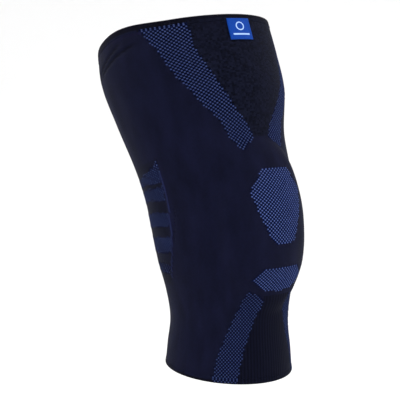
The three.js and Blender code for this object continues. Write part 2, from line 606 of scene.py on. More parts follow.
    @classmethod
    def lay_knit_map(cls, obj: Object, lines: Array) -> None:
        """Gives a straight piece a UV map: wales across and courses up, each the size of a plain stitch.

        Args:
            obj: The piece.
            lines: The heights of the lines between its courses.
        """
        points = cls.points(obj)
        angles = cls.angles_of(points)
        corners, sizes = cls.face_corners(obj)
        middle = np.repeat(cls.angles_of(cls.face_centres(obj)), sizes)
        own = middle + (angles[corners] - middle + math.pi) % (2 * math.pi) - math.pi
        course = np.interp(points[corners, 2], lines, np.arange(len(lines)))
        flat = np.stack([own * cls.STRAIGHT_RADIUS, course * COURSE], axis=-1)
        while obj.data.uv_layers:
            obj.data.uv_layers.remove(obj.data.uv_layers[0])
        layer = obj.data.uv_layers.new(name=KNIT_MAP)
        layer.data.foreach_set("uv", flat.astype(np.float32).ravel())

    @staticmethod
    def keep_values(obj: Object, name: str, domain: str, values: Array) -> None:
        """Keeps a number at each face or point of a mesh, for a finish to read.

        Args:
            obj: The object.
            name: What the numbers are called.
            domain: FACE or POINT.
            values: The numbers.
        """
        kept = obj.data.attributes.new(name, "FLOAT", domain)
        kept.data.foreach_set("value", values.astype(np.float32))

    @classmethod
    def mark_painted_crease_shade(cls, obj: Object) -> None:
        """Keeps at each point of a straight piece how deep in a crease it lies, as the mask for the shade
        that the jersey finishes paint into the creases.

        Args:
            obj: The piece.
        """
        points = cls.points(obj)
        shade = LEG.crease_share(cls.angles_of(points), points[:, 2], cls.depths(points))
        # Painted shade mask: the crease value tells the jersey finishes where to paint the creases dark.
        cls.keep_values(obj, "crease", "POINT", shade)

    @classmethod
    def depths(cls, points: Array) -> Array:
        """Gives how deep in the knit straight points lie: how far inside the straight radius."""
        return cls.STRAIGHT_RADIUS - np.hypot(points[:, 0], points[:, 1])

    @classmethod
    def wrap(cls, obj: Object) -> None:
        """Lays a straight piece on the leg."""
        points = cls.points(obj)
        cls.put_points(obj, LEG.skin(cls.angles_of(points), points[:, 2], cls.depths(points)))

    @classmethod
    def lay_flat_on(cls, obj: Object, radius: float, aside: float, height: float, depth: float) -> None:
        """Bends a piece that was modelled flat, facing -Y at the origin, on to the leg's front.

        Args:
            obj: The piece.
            radius: Half the leg's width where it goes.
            aside: How far to the +X side its middle goes.
            height: How high its middle goes.
            depth: How deep under the knit's outer face its middle goes.
        """
        points = cls.points(obj)
        angle = (points[:, 0] + aside) / radius
        cls.put_points(obj, LEG.skin(angle, points[:, 2] + height, points[:, 1] + depth))

    @classmethod
    def smooth(cls, obj: Object, degrees: float | None = None) -> None:
        """Shades an object smooth.

        Args:
            obj: The object.
            degrees: The angle from which an edge stays sharp, or None for no sharp edge.
        """
        cls.only(obj)
        if degrees is None:
            bpy.ops.object.shade_smooth()
        else:
            bpy.ops.object.shade_smooth_by_angle(angle=math.radians(degrees))

    @classmethod
    def outward(cls, obj: Object) -> None:
        """Merges doubles and turns every face of a closed mesh outwards.

        Args:
            obj: The object.
        """
        cls.pick_all(obj)
        bpy.ops.mesh.remove_doubles(threshold=cls.SAME)
        bpy.ops.mesh.normals_make_consistent(inside=False)
        cls.done()

    @classmethod
    def cut_across(cls, obj: Object, cuts: int) -> None:
        """Divides every face of an object, so that it can follow a curve.

        Args:
            obj: The object.
            cuts: How many cuts each edge gets.
        """
        cls.pick_all(obj)
        bpy.ops.mesh.subdivide(number_cuts=cuts)
        cls.done()

    @classmethod
    def round_edges(cls, obj: Object, width: float, segments: int) -> None:
        """Rounds the sharp edges of an object."""
        settings = {"limit_method": "ANGLE", "angle_limit": cls.SHARP}
        cls.apply(obj, "BEVEL", width=width, segments=segments, **settings)


class Value:
    """A number in a material's nodes. Arithmetic on it adds Math nodes."""

    def __init__(self, finish: "Nodes", socket: bpy.types.NodeSocket) -> None:
        """Wraps an output socket of one of the material's nodes."""
        self.finish = finish
        self.socket = socket

    def _math(self, operation: str, *others: "Value | float", swap: bool = False) -> "Value":
        """Adds a Math node.

        Args:
            operation: The node's operation.
            *others: Its further inputs.
            swap: Whether this value comes second.

        Returns:
            The node's result.
        """
        inputs = [self, *others]
        if swap:
            inputs.reverse()
        return self.finish.add("ShaderNodeMath", {"operation": operation}, dict(enumerate(inputs)))

    def __add__(self, other: "Value | float") -> "Value":
        """Adds."""
        return self._math("ADD", other)

    __radd__ = __add__

    def __sub__(self, other: "Value | float") -> "Value":
        """Subtracts."""
        return self._math("SUBTRACT", other)

    def __rsub__(self, other: "Value | float") -> "Value":
        """Subtracts this from a number."""
        return self._math("SUBTRACT", other, swap=True)

    def __mul__(self, other: "Value | float") -> "Value":
        """Multiplies."""
        return self._math("MULTIPLY", other)

    __rmul__ = __mul__

    def __truediv__(self, other: "Value | float") -> "Value":
        """Divides."""
        return self._math("DIVIDE", other)

    def sine(self) -> "Value":
        """Gives the sine."""
        return self._math("SINE")

    def size(self) -> "Value":
        """Gives the size without its sign."""
        return self._math("ABSOLUTE")

    def floor(self) -> "Value":
        """Rounds down."""
        return self._math("FLOOR")

    def fraction(self) -> "Value":
        """Gives what is left over a whole number."""
        return self._math("FRACT")

    def wave(self, period: float) -> "Value":
        """Gives a wave from 0 to 1 that repeats every period."""
        return (self * (2 * math.pi / period)).sine() * 0.5 + 0.5

    def over(self, other: "Value", share: float) -> "Value":
        """Mixes this with another value, of which it leaves the rest of the share."""
        return self * share + other * (1 - share)


class Nodes:
    """A material's node graph, with one method for any node and one for each thing that finishes share."""

    SHEEN_ROUGHNESS = 0.45
    SHEEN_TINT = (0.55, 0.6, 0.9)

    def __init__(self, name: str) -> None:
        """Makes a material with a Principled BSDF.

        Args:
            name: The material's name.
        """
        self.material = bpy.data.materials.new(name)
        self.material.use_nodes = True
        self.tree = self.material.node_tree
        self.shader = self.tree.nodes["Principled BSDF"]

    def add(
        self, kind: str, settings: dict | None = None, inputs: dict | None = None, out: int | str = 0
    ) -> Value:
        """Adds a node.

        Args:
            kind: The node's type.
            settings: Its own settings, which are set first.
            inputs: A value or a link for some of its sockets, by name or place.
            out: The output that is wanted.

        Returns:
            The wanted output.
        """
        node = self.tree.nodes.new(kind)
        for name, value in (settings or {}).items():
            setattr(node, name, value)
        for key, value in (inputs or {}).items():
            self.feed(node.inputs[key], value)
        return Value(self, node.outputs[out])

    def feed(self, socket: bpy.types.NodeSocket, value: "Value | float | tuple") -> None:
        """Feeds a socket.

        Args:
            socket: The socket.
            value: A value to link, or a number or colour to set.
        """
        if isinstance(value, Value):
            self.tree.links.new(value.socket, socket)
        elif isinstance(value, tuple) and len(value) == 3 and socket.type == "RGBA":
            socket.default_value = (*value, 1.0)
        else:
            socket.default_value = value

    def split(self, place: Value, *axes: int) -> list[Value]:
        """Splits a vector.

        Args:
            place: The vector.
            *axes: Which of its numbers are wanted.

        Returns:
            Those numbers.
        """
        parts = self.add("ShaderNodeSeparateXYZ", None, {0: place}).socket.node
        return [Value(self, parts.outputs[axis]) for axis in axes]

    def object_place(self) -> Value:
        """Gives the Object coordinates."""
        return self.add("ShaderNodeTexCoord", None, None, "Object")

    def knit_place(self) -> list[Value]:
        """Gives the place along the knit's rows and up its columns, in metres."""
        return self.split(self.add("ShaderNodeUVMap", {"uv_map": KNIT_MAP}), 0, 1)

    def point(self, across: Value, up: Value) -> Value:
        """Makes a vector of two values."""
        return self.add("ShaderNodeCombineXYZ", None, {0: across, 1: up})

    def noise(self, scale: float, place: Value | None = None, detail: float = 2.0) -> Value:
        """Adds soft noise.

        Args:
            scale: How many waves it has in a metre.
            place: Where it is read, or None for Object coordinates.
            detail: How rough it is.

        Returns:
            A value from 0 to 1.
        """
        inputs = {"Vector": place or self.object_place(), "Scale": scale, "Detail": detail}
        return self.add("ShaderNodeTexNoise", None, inputs)

    def specks(self, place: Value) -> Value:
        """Gives one random number from 0 to 1 for each place."""
        return self.add("ShaderNodeTexWhiteNoise", {"noise_dimensions": "3D"}, {"Vector": place})

    def blend(self, share: Value | float, low: "Value | tuple", high: "Value | tuple") -> Value:
        """Mixes two colours."""
        settings = {"data_type": "RGBA", "clamp_factor": True}
        return self.add("ShaderNodeMix", settings, {0: share, 6: low, 7: high}, 2)

    def attribute(self, name: str) -> Value:
        """Reads a number that the mesh keeps for each face or point."""
        return self.add("ShaderNodeAttribute", {"attribute_name": name}, None, "Fac")

    def bump(self, height: Value, strength: float, distance: float) -> None:
        """Gives the shader a bump.

        Args:
            height: The relief, from 0 to 1.
            strength: How much of it shows.
            distance: How high 1 stands.
        """
        inputs = {"Height": height, "Strength": strength, "Distance": distance}
        self.feed(self.shader.inputs["Normal"], self.add("ShaderNodeBump", None, inputs, "Normal"))

    def surface(self, colour: Value, roughness: Value | float, gloss: float, sheen: float) -> None:
        """Sets the shader.

        Args:
            colour: The base colour.
            roughness: The roughness.
            gloss: The specular level, 0.5 for plastic and less for open yarn.
            sheen: How much the fibres shine at the edges.
        """
        sockets = {
            "Base Color": colour,
            "Roughness": roughness,
            "Specular IOR Level": gloss,
            "Sheen Weight": sheen,
            "Sheen Roughness": self.SHEEN_ROUGHNESS,
            "Sheen Tint": self.SHEEN_TINT,
        }
        for name, value in sockets.items():
            self.feed(self.shader.inputs[name], value)


def linear(*levels: int) -> Triple:
    """Turns a screen colour into the linear colour that shaders take.

    Args:
        *levels: Its red, green and blue, of 0 to 255.

    Returns:
        The linear colour.
    """
    shares = [level / 255 for level in levels]
    return tuple(s / 12.92 if s <= 10 / 255 else ((s + 0.055) / 1.055) ** 2.4 for s in shares)


@dataclass(frozen=True)
class Finish:
    """A surface: its dark and light colours, how it takes the light and how far its relief stands out."""

    name: str
    dark: Triple
    light: Triple
    roughness: float = 0.8
    gloss: float = 0.04
    sheen: float = 0.02
    relief: float = 0.12 * MM
    strength: float = 0.5
    cloud_scale: float = 3.0

    def pattern(self, nodes: Nodes) -> tuple[Value, Value]:
        """Draws the pattern: faint clouds, unless a finish says otherwise.

        Args:
            nodes: The material's nodes.

        Returns:
            How light each place is, and how high it stands, both from 0 to 1.
        """
        cloud = nodes.noise(self.cloud_scale)
        return cloud, cloud

    def colour(self, nodes: Nodes, tone: Value) -> Value:
        """Gives the colour of each tone."""
        return nodes.blend(tone, self.dark, self.light)

    def roughness_of(self, tone: Value) -> Value | float:
        """Gives how rough each tone is: the same all over, unless a finish says otherwise."""
        return self.roughness

    def make(self) -> bpy.types.Material:
        """Makes the material.

        Returns:
            The material.
        """
        nodes = Nodes(self.name)
        tone, height = self.pattern(nodes)
        nodes.surface(self.colour(nodes, tone), self.roughness_of(tone), self.gloss, self.sheen)
        if self.relief:
            nodes.bump(height, self.strength, self.relief)
        return nodes.material


WALES = 240
STITCH = 2 * math.pi * Bench.STRAIGHT_RADIUS / WALES
COURSE = 1.5 * MM


@dataclass(frozen=True)
class JerseyFinish(Finish):
    """Plain jersey: fine upright wales of V stitches, a little cloudy, with shade painted dark into the
    creases.
    """

    wale: float = STITCH / 2
    row: float = COURSE / 2
    groove_share: float = 0.6
    level: float = 0.225
    stitch_share: float = 0.45
    cloud_share: float = 1.4
    cloud_scale: float = 90.0
    cloud_stretch: float = 0.35
    grain_share: float = 0.6
    grain_scale: float = 500.0
    # Painted shade: how far the creases are darkened, and the near-black colour painted there as their
    # shadow.
    painted_crease_shade: float = 0.85
    painted_crease_shadow: Triple = linear(1, 2, 5)

    def pattern(self, nodes: Nodes) -> tuple[Value, Value]:
        """Draws the stitches, the clouds and the grain.

        Args:
            nodes: The material's nodes.

        Returns:
            The tone and the height.
        """
        across, up = nodes.knit_place()
        off = ((across / self.wale).fraction() - 0.5).size()
        legs = (up + off * self.row).wave(self.row)
        stitch = across.wave(self.wale).over(legs, self.groove_share)
        cloud = nodes.noise(self.cloud_scale, nodes.point(across, up * self.cloud_stretch)) - 0.5
        grain = nodes.noise(self.grain_scale) - 0.5
        tone = stitch * self.stitch_share + cloud * self.cloud_share + grain * self.grain_share + self.level
        return tone, stitch

    def colour(self, nodes: Nodes, tone: Value) -> Value:
        """Paints shade into the creases: blends the colour towards a near-black painted shadow by the crease
        mark.
        """
        # Painted shade: darken each point by its crease mark, towards the painted shadow colour.
        crease = nodes.attribute("crease") * self.painted_crease_shade
        return nodes.blend(crease, super().colour(nodes, tone), self.painted_crease_shadow)


@dataclass(frozen=True)
class FleckFinish(Finish):
    """The dense thigh panel: coarse tuck stitches, some of them lighter."""

    relief: float = 0.25 * MM
    strength: float = 0.6
    fleck_share: float = 0.7

    def pattern(self, nodes: Nodes) -> tuple[Value, Value]:
        """Draws the flecks, one for each stitch, over the grain.

        Args:
            nodes: The material's nodes.

        Returns:
            The tone and the height.
        """
        across, up = nodes.knit_place()
        fleck = nodes.specks(nodes.point((across / STITCH).floor(), (up / COURSE).floor()))
        grain = across.wave(STITCH / 2) * up.wave(COURSE / 2)
        return fleck.over(grain, self.fleck_share), fleck.over(grain, 0.5)


@dataclass(frozen=True)
class RibFinish(Finish):
    """The shin panel: fine ribs, dark in the grooves."""

    relief: float = 0.25 * MM
    strength: float = 0.6
    rib_share: float = 0.85
    rib_height: float = 0.7

    def pattern(self, nodes: Nodes) -> tuple[Value, Value]:
        """Draws the ribs, with the stitches across them.

        Args:
            nodes: The material's nodes.

        Returns:
            The tone and the height.
        """
        across, up = nodes.knit_place()
        rib = (across + STITCH / 2).wave(STITCH * 2)
        legs = up.wave(COURSE / 2)
        return rib.over(legs, self.rib_share), rib.over(legs, self.rib_height)


@dataclass(frozen=True)
class MeshFinish(Finish):
    """One stitch of the blue mesh: its ground, its light dots or its holes, as bright as its zone's tone."""

    strength: float = 0.4
    twist_slant: float = 0.6
    twist_shade: float = 0.2

    def pattern(self, nodes: Nodes) -> tuple[Value, Value]:
        """Draws the yarn's twist.

        Args:
            nodes: The material's nodes.

        Returns:
            The tone and the height.
        """
        across, up = nodes.knit_place()
        twist = (across + up * self.twist_slant).wave(STITCH / 4)
        tone = nodes.attribute("tone") * (twist * self.twist_shade + (1 - self.twist_shade / 2))
        return tone, twist


@dataclass(frozen=True)
class SiliconeFinish(Finish):
    """Smooth silicone with a faint cloudiness."""

    roughness: float = 0.3
    gloss: float = 0.4
    sheen: float = 0.0
    relief: float = 0.1 * MM
    strength: float = 0.15
    cloud_scale: float = 120.0
    cloud_roughness: float = 0.12
    grain_scale: float = 900.0

    def pattern(self, nodes: Nodes) -> tuple[Value, Value]:
        """Draws the clouds and the fine grain.

        Args:
            nodes: The material's nodes.

        Returns:
            The tone and the height.
        """
        return nodes.noise(self.cloud_scale, detail=3.0), nodes.noise(self.grain_scale)

    def roughness_of(self, tone: Value) -> Value:
        """Makes the lighter clouds rougher."""
        return tone * self.cloud_roughness + self.roughness


@dataclass(frozen=True)
class SatinFinish(Finish):
    """The label's satin weave: fine threads across, with a slight gloss."""

    roughness: float = 0.55
    gloss: float = 0.08
    sheen: float = 0.03
    relief: float = 0.08 * MM
    strength: float = 0.4
    thread: float = 0.25 * MM
    weft_height: float = 0.7
    weft_share: float = 0.5
    warp_share: float = 0.3
    grain_share: float = 0.3
    grain_scale: float = 400.0

    def pattern(self, nodes: Nodes) -> tuple[Value, Value]:
        """Draws the threads and the grain.

        Args:
            nodes: The material's nodes.

        Returns:
            The tone and the height.
        """
        across, up = nodes.split(nodes.object_place(), 0, 2)
        weft = up.wave(self.thread)
        warp = (across + up * 0.5).wave(self.thread * 2)
        grain = nodes.noise(self.grain_scale) * self.grain_share
        return weft * self.weft_share + warp * self.warp_share + grain, weft.over(warp, self.weft_height)


class Cell(Enum):
    """What one stitch is knitted as."""

    JERSEY = 0
    THIGH_PANEL = 1
    SHIN_PANEL = 2
    MESH = 3
    DOT = 4
    HOLE = 5
    BACK_PANEL = 6
    SIDE_LINE = 7
    HEM = 8
    HEM_LINE = 9
    INSIDE = 10


@dataclass(frozen=True)
class Zone:
    """A zone of the knit, the same on both sides of the front line. A later zone lies over an earlier one.

    tone is how bright its blue is. corners are degrees off the front line and millimetres above the kneecap.
    """

    cell: Cell
    tone: float
    corners: Pairs


ZONES = (
    Zone(Cell.JERSEY, 0.0, ((70, 168.8), (181, 168.8), (181, 171.1), (70, 171.1))),
    Zone(Cell.JERSEY, 0.0, ((-1, -111.6), (181, -111.6), (181, -109.4), (-1, -109.4))),
    Zone(Cell.THIGH_PANEL, 0.0, (
        (-1, 172.4), (38.2, 172.4), (36.5, 149), (33, 132), (28.5, 110), (21, 93), (10.5, 73), (7, 65),
        (-1, 64),
    )),
    Zone(Cell.SHIN_PANEL, 0.0, (
        (-1, -45.5), (14, -46), (13, -51), (14, -56), (19, -64), (23, -74.5), (29, -88), (33, -102),
        (35, -115), (-1, -115),
    )),
    Zone(Cell.BACK_PANEL, 0.0, (
        (84, 66), (86, 52), (88, 29), (88, 20), (89.5, 2), (92, -12), (98, -32), (104, -40), (181, -40),
        (181, 66),
    )),
    Zone(Cell.MESH, 0.41, (
        (37.2, 171.2), (36, 149), (32.5, 132), (27.5, 110), (20.5, 93), (10.5, 73.5), (7, 64), (20, 55),
        (27, 66), (30, 79), (42, 98), (53, 126), (56.5, 142), (59.5, 152), (69.3, 171.2),
    )),
    Zone(Cell.MESH, 0.92, (
        (-1, 41), (12.5, 41), (26, 27), (20.5, 10), (12, -6.5), (7.5, -9), (-1, -9.5),
    )),
    Zone(Cell.MESH, 0.86, (
        (-1, -24), (17.5, -24), (27, -32.5), (19.5, -39), (13, -42), (-1, -43.5),
    )),
    Zone(Cell.MESH, 0.38, (
        (27, -41), (23.5, -43.5), (19, -45), (14, -49), (13.5, -56), (19, -64), (23, -74.5), (29, -88),
        (33, -102), (35, -115), (58, -115), (53, -92.5), (46, -76.5), (39.5, -63.5), (33, -53),
    )),
    Zone(Cell.MESH, 0.32, (
        (85.5, 64), (94, 60), (106, 57), (181, 57), (181, 49), (111, 49), (89, 46.5), (86.5, 46.5),
    )),
    Zone(Cell.MESH, 0.32, ((87, 43.5), (181, 46), (181, 35), (106, 34), (88.5, 31))),
    Zone(Cell.MESH, 0.32, ((88, 21), (106, 23), (181, 24), (181, 12), (105, 10.5), (89.5, 10))),
    Zone(Cell.MESH, 0.32, ((89.5, 1), (181, 1), (181, -12), (107, -12.5), (92, -11.5))),
    Zone(Cell.MESH, 0.18, ((95, -22), (181, -22), (181, -32), (100, -30))),
)

# Where the front line of the knit runs on the leg: millimetres above the kneecap, degrees towards +X.
FRONT_LINE = ((-114, 0.0), (-47, 0.5), (-20, 2.5), (30, 3.0), (62, 0.5), (110, 0.5), (176, 0.0))


def inside(corners: Pairs, x: Array, y: Array) -> Array:
    """Marks the points that lie inside an outline.

    Args:
        corners: The outline's corners.
        x: The points' first coordinate.
        y: Their second coordinate.

    Returns:
        A mark for each point.
    """
    marks = np.zeros(len(x), bool)
    for (x0, y0), (x1, y1) in zip(corners, corners[1:] + corners[:1]):
        if y0 == y1:
            continue
        crosses = (y0 > y) != (y1 > y)
        marks ^= crosses & (x < x0 + (y - y0) * (x1 - x0) / (y1 - y0))
    return marks


FINISHES = {
    Cell.JERSEY: JerseyFinish("jersey", linear(7, 9, 25), linear(18, 20, 43)),
    Cell.THIGH_PANEL: FleckFinish("thigh_panel", linear(2, 3, 12), linear(18, 21, 39)),
    Cell.SHIN_PANEL: RibFinish("shin_panel", linear(3, 4, 14), linear(11, 13, 30)),
    Cell.MESH: MeshFinish("mesh_ground", linear(5, 8, 29), linear(8, 20, 64)),
    Cell.DOT: MeshFinish("mesh_dot", linear(12, 15, 40), linear(78, 94, 148)),
    Cell.HOLE: MeshFinish("mesh_hole", linear(2, 4, 15), linear(2, 6, 24)),
    Cell.BACK_PANEL: JerseyFinish("back_panel", linear(4, 6, 17), linear(15, 17, 37)),
    Cell.SIDE_LINE: JerseyFinish("side_line", linear(12, 15, 42), linear(30, 36, 74)),
    Cell.HEM: JerseyFinish("hem_knit", linear(3, 3, 10), linear(10, 11, 24)),
    Cell.HEM_LINE: JerseyFinish("hem_line", linear(10, 10, 29), linear(21, 21, 49)),
    Cell.INSIDE: JerseyFinish("knit_inside", linear(12, 13, 30), linear(30, 33, 60)),
}


@dataclass(frozen=True)
class Gauge:
    """How high the courses are at heights above the kneecap, in millimetres. They are finest at the knee."""

    courses: int = 200
    heights: Pairs = (
        (-114, 1.4), (-60, 1.38), (-40, 1.25), (0, 1.25), (30, 1.17), (50, 1.3), (75, 1.52), (110, 1.55),
        (150, 1.6),
    )
    samples: int = 4000

    def lines(self, low: float, high: float) -> Array:
        """Gives the heights of the lines between the courses.

        Args:
            low: The lower end of the knit.
            high: Its upper end.

        Returns:
            The heights, with both ends.
        """
        fine = np.linspace(low, high, self.samples)
        rate = 1 / np.interp(fine / MM, *zip(*self.heights))
        knitted = np.concatenate([[0], np.cumsum((rate[1:] + rate[:-1]) / 2)])
        return np.interp(np.linspace(0, knitted[-1], self.courses + 1), knitted, fine)


@dataclass
class KnittedTube:
    """A round knitted piece. On its outer face each stitch is one face, so its zones have stepped edges.

    The angles are degrees off the front line. Behind streaky_from the zones' edges are ragged, and the blue
    runs in slanting streaks.
    """

    name: str
    low: float
    high: float
    plain: Cell
    proud: float = 0.0
    thickness: float = LEG.wall
    mesh_sink: float = 0.15 * MM
    dot_inset: float = 0.3 * MM
    dot_rise: float = 0.28 * MM
    hole_inset: float = 0.27 * MM
    hole_depth: float = 0.55 * MM
    rib_rise: float = 0.2 * MM
    tuck_rise: float = 0.12 * MM
    line_rise: float = 0.35 * MM
    least_course: float = 1 * MM
    inner_step: int = 5
    front_reach: tuple[float, float] = (60.0, 80.0)
    streaky_from: float = 84.0
    ragged: float = 1.1
    single_tone: tuple[float, float] = (0.86, 1.14)
    streak_tone: tuple[float, float] = (0.35, 1.6)
    dotted_line: Pairs = ((-1.5, 86.5), (20.5, 81.5))
    dotted_heights: tuple[float, float] = (-4.0, 23.0)
    line_reach: float = 0.75
    ragged_draw: int = 5
    tone_draw: int = 8

    def lines(self) -> Array:
        """Gives the heights of the lines between the courses of the outer face."""
        return Gauge().lines(self.low, self.high)

    def inner_lines(self) -> Array:
        """Gives the heights of the lines of the inner face, which is plain."""
        return self.lines()[:: self.inner_step]

    def build(self) -> Object:
        """Builds the piece.

        Returns:
            The finished object.
        """
        lines = self.lines()
        radius = Bench.STRAIGHT_RADIUS + self.proud
        outer = Bench.tube(self.name + "_outside", radius, lines, WALES)
        inner = Bench.tube(self.name + "_inside", radius - self.thickness, self.inner_lines(), WALES)
        self._dress(outer)
        self._dress(inner)
        self._knit(outer, lines)
        self._set_cells(inner, np.ones(len(inner.data.polygons), bool), Cell.INSIDE)
        for height in (self.low, self.high):
            Bench.turn_in_rim(outer, height, radius - self.thickness)
        tube = Bench.join(self.name, [outer, inner])
        Bench.outward(tube)
        self._round_rims(tube)
        Bench.lay_knit_map(tube, lines)
        Bench.mark_painted_crease_shade(tube)
        Bench.wrap(tube)
        Bench.smooth(tube)
        Bench.only(tube)
        bpy.ops.object.material_slot_remove_unused()
        return tube

    @staticmethod
    def _dress(obj: Object) -> None:
        """Gives an object one material slot for each kind of cell, made once and shared."""
        for cell in Cell:
            obj.data.materials.append(bpy.data.materials.get(FINISHES[cell].name) or FINISHES[cell].make())

    @staticmethod
    def _set_cells(obj: Object, faces: Array, cell: Cell) -> None:
        """Makes some faces one kind of cell.

        Args:
            obj: The object.
            faces: A mark for each face.
            cell: The kind.
        """
        index = Bench.read(obj.data.polygons, "material_index", np.int32)
        index[faces] = cell.value
        obj.data.polygons.foreach_set("material_index", index)

    def _round_rims(self, tube: Object) -> None:
        """Leaves the cut edges square. A hem rounds them."""

    def _lay_out(self, away: Array, height: Array) -> tuple[Array, Array]:
        """Chooses what each stitch is knitted as.

        Args:
            away: How far each stitch is from the front line, in degrees.
            height: How high it is, in millimetres.

        Returns:
            The kind of each cell, and its tone.
        """
        kinds = np.full(len(away), self.plain.value)
        tones = np.zeros(len(away))
        for zone in ZONES:
            marks = inside(zone.corners, away, height)
            kinds[marks] = zone.cell.value
            tones[marks] = zone.tone
        return kinds, tones

    def _knit(self, tube: Object, lines: Array) -> None:
        """Knits the outer face: zones, lines, ribs, tucks, dots and holes.

        Args:
            tube: The outer face.
            lines: The heights of the lines between its courses.
        """
        centres = Bench.face_centres(tube)
        angle = np.degrees(Bench.angles_of(centres))
        height = centres[:, 2] / MM
        front = np.interp(height, *zip(*FRONT_LINE))
        away = np.abs(angle - front * (1 - soft_step(np.abs(angle), *self.front_reach)))
        column = np.floor((angle + 180) / 360 * WALES).astype(int)
        course = np.searchsorted(lines, centres[:, 2]) - 1
        streaky = away > self.streaky_from
        ragged = np.random.default_rng(self.ragged_draw).uniform(-1, 1, WALES)[column] * self.ragged
        kinds, tones = self._lay_out(away, height + ragged * streaky)
        tones *= self._melange(column, course, streaky)
        tube.data.polygons.foreach_set("material_index", kinds.astype(np.int32))
        Bench.keep_values(tube, "tone", "FACE", tones)
        self._raise_points(tube, kinds, lines)
        even = (column + course) % 2 == 0
        mesh = (kinds == Cell.MESH.value) & (np.diff(lines)[course] > self.least_course)
        dotted = np.abs(away - np.interp(height, *zip(*self.dotted_line))) < self.line_reach
        dotted &= (height > self.dotted_heights[0]) & (height < self.dotted_heights[1]) & (course % 2 == 0)
        self._inset_cells(tube, mesh & even, self.dot_inset, self.dot_rise, Cell.DOT)
        self._inset_cells(tube, (mesh & ~even) | dotted, self.hole_inset, -self.hole_depth, Cell.HOLE)

    def _melange(self, column: Array, course: Array, streaky: Array) -> Array:
        """Varies the blue of the stitches a little, and in slanting streaks on the back.

        Args:
            column: Each stitch's column.
            course: Its course.
            streaky: A mark for each stitch where the streaks are.

        Returns:
            A factor for each stitch's tone.
        """
        draw = np.random.default_rng(self.tone_draw)
        single = draw.uniform(*self.single_tone, len(column))
        streak = draw.uniform(*self.streak_tone, 2 * WALES)[(column + 2 * course) % (2 * WALES)]
        return single * np.where(streaky, streak, 1.0)

    def _inset_cells(self, tube: Object, cells: Array, inset: float, rise: float, kind: Cell) -> None:
        """Insets some of the stitches, each by itself.

        Args:
            tube: The outer face.
            cells: A mark for each stitch.
            inset: How far the inner face lies inside the stitch.
            rise: How far it stands out, or lies in if negative.
            kind: What the inner faces become.
        """
        if not cells.any():
            return
        marks = np.zeros(len(tube.data.polygons), bool)
        marks[: len(cells)] = cells
        Bench.inset_each(tube, marks, inset, rise)
        self._set_cells(tube, Bench.selected_faces(tube), kind)

    def _raise_points(self, tube: Object, kinds: Array, lines: Array) -> None:
        """Moves the points between the stitches in and out, by the kind of the stitches around them.

        Args:
            tube: The outer face.
            kinds: The kind of each cell.
            lines: The heights of the lines between its courses.
        """
        corners, sizes = Bench.face_corners(tube)
        kinds = np.repeat(kinds, sizes)
        points = Bench.points(tube)
        angle = np.degrees(Bench.angles_of(points))
        column = np.round((angle + 180) / 360 * WALES).astype(int)
        course = np.round(np.interp(points[:, 2], lines, np.arange(len(lines)))).astype(int)

        def stitches(cell: Cell) -> Array:
            """Counts the stitches of one kind round each point."""
            return np.bincount(corners[kinds == cell.value], minlength=len(points))

        rise = -self.mesh_sink * (stitches(Cell.MESH) == 4)
        rise = rise + self.rib_rise * (stitches(Cell.SHIN_PANEL) == 4) * (column % 2)
        rise = rise + self.tuck_rise * (stitches(Cell.THIGH_PANEL) == 4) * ((column + course) % 2)
        rise = rise + self.line_rise * (stitches(Cell.SIDE_LINE) >= 2)
        rise = rise + self.tuck_rise * (stitches(Cell.HEM) == 4) * (column % 2)
        points[:, :2] *= (1 + rise / np.hypot(points[:, 0], points[:, 1]))[:, None]
        Bench.put_points(tube, points)


@dataclass
class KnitSleeve(KnittedTube):
    """The sleeve between the two hems. Its ends are tucked into them."""

    tuck: float = 1.3 * MM
    hem_line: float = 1.2 * MM
    side_line: Pairs = ((-32, 97.0), (-12, 91.0), (2, 88.5), (20, 87.0), (54, 85.5))

    def __post_init__(self) -> None:
        """Lengthens the knit by what is tucked in."""
        self.low -= self.tuck
        self.high += self.tuck

    def _lay_out(self, away: Array, height: Array) -> tuple[Array, Array]:
        """Adds the raised line beside the back panel, and the paler course below the thigh hem.

        Args:
            away: How far each stitch is from the front line, in degrees.
            height: How high it is, in millimetres.

        Returns:
            The kind of each cell, and its tone.
        """
        kinds, tones = super()._lay_out(away, height)
        heights, angles = zip(*self.side_line)
        on_line = np.abs(away - np.interp(height, heights, angles)) < self.line_reach
        kinds[on_line & (height > heights[0]) & (height < heights[-1])] = Cell.SIDE_LINE.value
        by_hem = height > (self.high - self.tuck - self.hem_line) / MM
        kinds[by_hem & (kinds == Cell.JERSEY.value)] = Cell.HEM_LINE.value
        return kinds, tones


